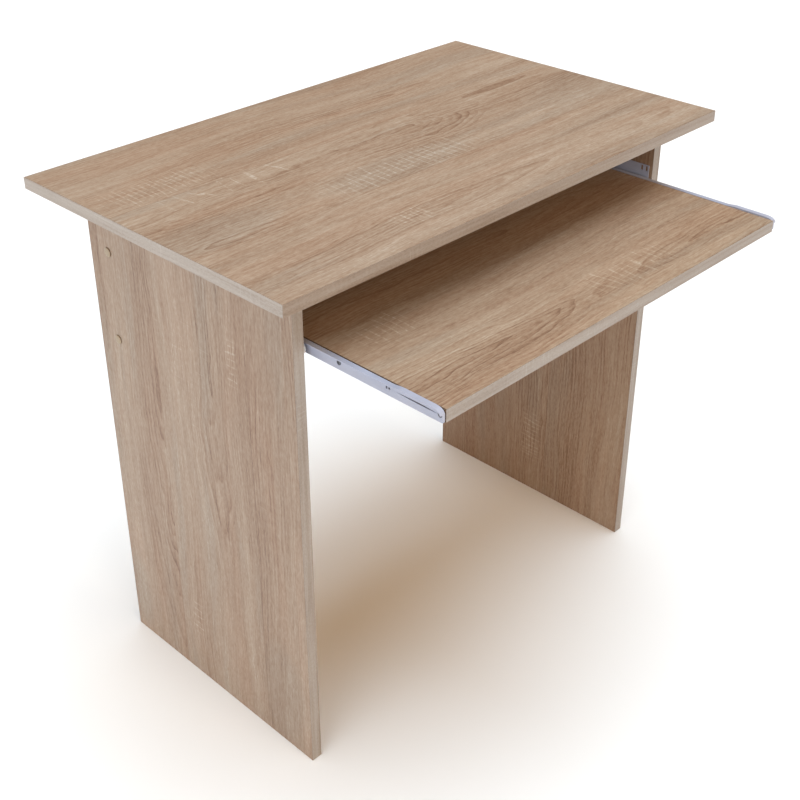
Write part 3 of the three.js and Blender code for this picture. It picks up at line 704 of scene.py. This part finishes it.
def edge_band(band):
    """Printed plastic edging: fine lines along it, soft streaks, specks and a few cross ticks."""
    low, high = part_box(band.node)
    grain_axis = "xyz".index(band.grain)
    tree = Tree(f"edging_{band.node}")
    u = tree.axis(band.grain)
    v = tree.axis(band.across)
    w = v + (tree.layer(u, v, band.seed, BAND_WANDER) - 0.5) * BAND_WANDER_SIZE
    streak = tree.layer(u, w, band.seed, BAND_STREAK) - 0.5
    fine = tree.layer(u, w, band.seed, BAND_FINE) - 0.5
    cloud = tree.layer(u, v, band.seed, BAND_CLOUD) - 0.5
    speck = tree.layer(u, v, band.seed, BAND_SPECK) - 0.5
    ticks = tree.layer(u, v, band.seed, BAND_TICKS).step(*TICK_LEVELS)
    tick_row = band.seed + TICK_PLACE_OFFSET
    where = tree.noise(u * TICK_PLACES_ALONG, TICK_PLACE_ROW, tick_row, detail=1).step(*TICK_PLACE_LEVELS)
    tone = BAND_MEAN + streak * BAND_STREAK_TONE + fine * BAND_FINE_TONE + cloud * BAND_CLOUD_TONE
    tone = tone + speck * BAND_SPECK_TONE + ticks * where * TICK_TONE
    start, end = band.pale
    share = (u - low[grain_axis]) / (high[grain_axis] - low[grain_axis])
    pale = start + share * (end - start) + streak * BAND_STREAK_PALENESS + cloud * BAND_CLOUD_PALENESS
    colour = tree.mix(pale.clamped(), tree.ramp(tone, BAND_BROWN), tree.ramp(tone, BAND_CREAM))
    # Painted light and shade: the band's brightness stands in for how much light its side gets
    colour = tree.tinted(colour, (band.bright, band.bright, band.bright, 1.0))
    roughness = BAND_ROUGHNESS + fine * 0.2 + cloud * 0.1
    return tree.finish(colour, roughness, fine + streak * 0.5, BAND_RELIEF, [("Specular IOR Level", 0.45)])


def white_enamel():
    """Powder-coated steel sheet: a pale cool coat with a fine orange-peel surface and faint rub marks."""
    tree = Tree("white_enamel")
    peel = tree.solid(even(1500))
    cloud = tree.solid(even(30), detail=3)
    rub = tree.solid((900, 25, 900)).step(0.60, 0.74)
    colour = tree.mix(rub * 0.35, tree.ramp(cloud, ENAMEL), ENAMEL_RUBBED)
    roughness = ENAMEL_ROUGHNESS + cloud * 0.12 + rub * 0.18
    return tree.finish(colour, roughness, peel, ENAMEL_RELIEF, [("Coat Weight", 0.15)])


def nylon():
    """Moulded nylon of the rollers: milky, with fine turning lines worn into the tread."""
    tree = Tree("roller_nylon")
    wear = tree.solid((2600, 60, 60))
    mottle = tree.solid(even(220), detail=3)
    colour = tree.mix(wear.step(0.55, 0.75) * 0.4, tree.ramp(mottle, NYLON), NYLON_WORN)
    soft = [("Subsurface Weight", 0.08), ("Subsurface Scale", 0.002)]
    return tree.finish(colour, NYLON_ROUGHNESS + wear * 0.2, wear, NYLON_RELIEF, soft)


def zinc_plate(name, scale, colours):
    """Zinc-plated or cast metal: a cool grey with crystal mottling and small scratches."""
    tree = Tree(name)
    mottle = tree.solid(even(scale), detail=3, roughness=0.6)
    scratch = tree.solid((scale * 0.4, scale * 9, scale * 2), detail=1).step(0.62, 0.70)
    roughness = METAL_ROUGHNESS + mottle * 0.22 + scratch * 0.15
    height = mottle - scratch * 0.5
    return tree.finish(tree.ramp(mottle, colours), roughness, height, METAL_RELIEF, [("Metallic", 1.0)])


def cap_plastic():
    """Moulded cover caps: a warm sand face and a side wall painted browner as shade, semi-gloss, with a hint
    of flow marks.
    """
    tree = Tree("cap_plastic")
    flow = tree.solid((180, 420, 420), detail=3)
    grain = tree.solid(even(2400), detail=1)
    facing = tree.facing("x").step(*CAP_FACING)
    # Painted shade: the cap's side wall, which faces away from the panel's normal, gets the browner colour
    colour = tree.mix(facing, tree.ramp(flow, CAP_WALL_SHADED), tree.ramp(flow, CAP_FACE))
    roughness = CAP_ROUGHNESS + grain * 0.12
    return tree.finish(colour, roughness, grain, CAP_RELIEF, [("Coat Weight", 0.1)])


def beech():
    """Fluted beech dowels: short brown flecks along the grain."""
    tree = Tree("beech")
    streak = tree.solid((500, 500, 18))
    fleck = tree.solid((1500, 1500, 240), detail=1).step(0.60, 0.70)
    colour = tree.mix(fleck * 0.6, tree.ramp(streak, BEECH), BEECH_FLECKS)
    roughness = BEECH_ROUGHNESS + streak * 0.15
    return tree.finish(colour, roughness, streak - fleck * 0.5, BEECH_RELIEF)


def soften(node, radius):
    """Rounds a CAD node's sharp edges by modifiers, so that they catch the light."""
    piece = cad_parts[node]
    weld = piece.modifiers.new("weld", "WELD")
    weld.merge_threshold = WELD_DISTANCE
    flatten = piece.modifiers.new("flatten", "DECIMATE")
    flatten.decimate_type = "DISSOLVE"
    flatten.angle_limit = FLAT_ANGLE
    bevel = piece.modifiers.new("bevel", "BEVEL")
    bevel.width = radius
    bevel.segments = EDGE_SEGMENTS
    bevel.limit_method = "ANGLE"
    bevel.angle_limit = SHARP_ANGLE
    normals = piece.modifiers.new("normals", "WEIGHTED_NORMAL")
    normals.keep_sharp = True


def dress(nodes, material, edge=None):
    """Gives CAD nodes their material, and rounds their edges where a radius is given."""
    for node in nodes:
        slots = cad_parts[node].data.materials
        slots.clear()
        slots.append(material)
        if edge:
            soften(node, edge)


def nodes_named(*starts):
    """The CAD nodes whose names start with one of these."""
    return sorted(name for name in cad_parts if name.startswith(starts))


def dress_everything():
    for board in BOARDS:
        dress([board.node], oak(board), BOARD_EDGE)
    for band in BANDS:
        dress([band.node], edge_band(band), BAND_EDGE)
    rails = nodes_named("cabinet_rail_left", "cabinet_rail_right", "tray_rail_left", "tray_rail_right")
    dress(rails, white_enamel(), SHEET_EDGE)
    rollers = nodes_named("front_roller_left", "front_roller_right", "rear_roller_left", "rear_roller_right")
    dress(rollers, nylon(), SHEET_EDGE)
    rail_screws = nodes_named("cabinet_rail_screw", "tray_rail_screw")
    # The rail screws get the darker zinc, which paints the shade in their recesses
    dress(rail_screws, zinc_plate("shaded_grey_zinc", 900, SHADED_SCREW_ZINC))
    fastenings = nodes_named("confirmat_screw", "cam_bolt", "front_roller_pin", "rear_roller_pin")
    dress(fastenings, zinc_plate("zinc_plate", 900, BRIGHT_ZINC))
    dress(nodes_named("cam_left", "cam_right"), zinc_plate("cast_zinc", 420, CAST_ZINC))
    dress(nodes_named("cover_cap"), cap_plastic(), SHEET_EDGE)
    dress(nodes_named("dowel"), beech())


def make_floor():
    """A plain pale floor, wide enough to reach the horizon in every view."""
    signs = ((-1, -1), (1, -1), (1, 1), (-1, 1))
    corners = [(x * FLOOR_REACH, y * FLOOR_REACH, 0) for x, y in signs]
    mesh = bpy.data.meshes.new("floor")
    mesh.from_pydata(corners, [], [(0, 1, 2, 3)])
    floor = bpy.data.objects.new("floor", mesh)
    bpy.context.scene.collection.objects.link(floor)
    tree = Tree("floor")
    colour = tree.ramp(tree.solid((0.6, 0.6, 0.0)), FLOOR)
    mesh.materials.append(tree.finish(colour, FLOOR_ROUGHNESS, settings=[("Specular IOR Level", 0.1)]))


def make_lamp(lamp):
    data = bpy.data.lights.new(lamp.name, "SUN")
    data.angle = math.radians(lamp.width)
    data.energy = lamp.strength * math.pi
    data.color = lamp.tint
    light = bpy.data.objects.new(lamp.name, data)
    light.rotation_euler = Vector(lamp.direction).to_track_quat("Z", "Y").to_euler()
    bpy.context.scene.collection.objects.link(light)


def make_light():
    """A warm dim room with a white backdrop that only the camera sees, and large soft lamps."""
    world = bpy.data.worlds.new("studio")
    world.use_nodes = True
    nodes = world.node_tree.nodes
    links = world.node_tree.links
    room = nodes["Background"]
    room.inputs["Color"].default_value = ROOM_TINT
    backdrop = nodes.new("ShaderNodeBackground")
    backdrop.inputs["Color"].default_value = WHITE
    seen = nodes.new("ShaderNodeLightPath")
    mix = nodes.new("ShaderNodeMixShader")
    links.new(seen.outputs["Is Camera Ray"], mix.inputs[0])
    links.new(room.outputs[0], mix.inputs[1])
    links.new(backdrop.outputs[0], mix.inputs[2])
    links.new(mix.outputs[0], nodes["World Output"].inputs["Surface"])
    bpy.context.scene.world = world
    for lamp in LAMPS:
        make_lamp(lamp)


def make_camera():
    azimuth = math.radians(CAMERA_AZIMUTH)
    elevation = math.radians(CAMERA_ELEVATION)
    across = math.cos(elevation)
    forward = Vector((math.sin(azimuth) * across, math.cos(azimuth) * across, -math.sin(elevation)))
    data = bpy.data.cameras.new("camera")
    data.lens = CAMERA_LENS
    data.shift_x, data.shift_y = CAMERA_SHIFT
    data.clip_end = FARTHEST_SEEN
    camera = bpy.data.objects.new("camera", data)
    level = forward.to_track_quat("-Z", "Y").to_matrix().to_4x4()
    roll = Matrix.Rotation(math.radians(CAMERA_ROLL), 4, "Z")
    place = Matrix.Translation(CAMERA_AIM - forward * CAMERA_DISTANCE)
    camera.matrix_world = place @ level @ roll
    bpy.context.scene.collection.objects.link(camera)
    bpy.context.scene.camera = camera


make_camera()
dress_everything()
make_floor()
make_light()
bpy.context.scene.view_settings.view_transform = "Standard"
